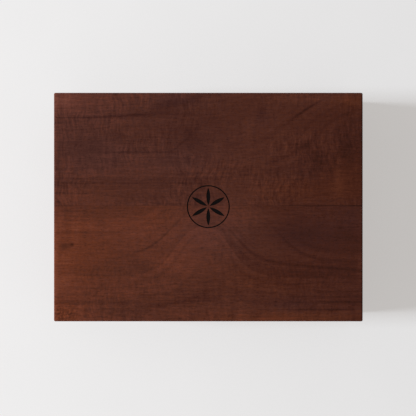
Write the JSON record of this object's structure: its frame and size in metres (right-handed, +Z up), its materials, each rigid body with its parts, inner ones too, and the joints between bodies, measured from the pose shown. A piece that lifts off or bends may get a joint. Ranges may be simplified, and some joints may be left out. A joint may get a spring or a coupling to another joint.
{
  "type": "sliding lid wooden box",
  "caption": "Rectangular keepsake box of dark wood with finger-jointed walls and a full-cover lid that slides off along its length on a dovetail tongue.",
  "frame": {"origin": "middle of the footprint, level with the undersides of the feet", "axes": "+X along the length, the way the lid slides open; +Y to the left when looking along +X; +Z up, out of the lid"},
  "size_m": [0.21, 0.1554, 0.065],
  "materials": {
    "lid_wood": "dark oiled hardwood, satin, grain along the length",
    "wall_wood": "dark oiled hardwood, satin, grain along each wall",
    "floor_wood": "oiled hardwood, satin",
    "felt": "matt wool felt, taupe"
  },
  "bodies": {
    "box": {"left_side": "wall_wood", "right_side": "wall_wood", "front_end": "wall_wood", "back_end": "wall_wood", "bottom_panel": "floor_wood", "floor_liner": "felt", "foot_front_left": "felt", "foot_front_right": "felt", "foot_back_left": "felt", "foot_back_right": "felt"},
    "lid": {"lid_left_board": "lid_wood", "lid_right_board": "lid_wood"}
  },
  "joints": [
    {"name": "lid_slide", "type": "slide", "parent": "box", "child": "lid", "axis": [1, 0, 0], "range_m": [0, 0.2]}
  ]
}
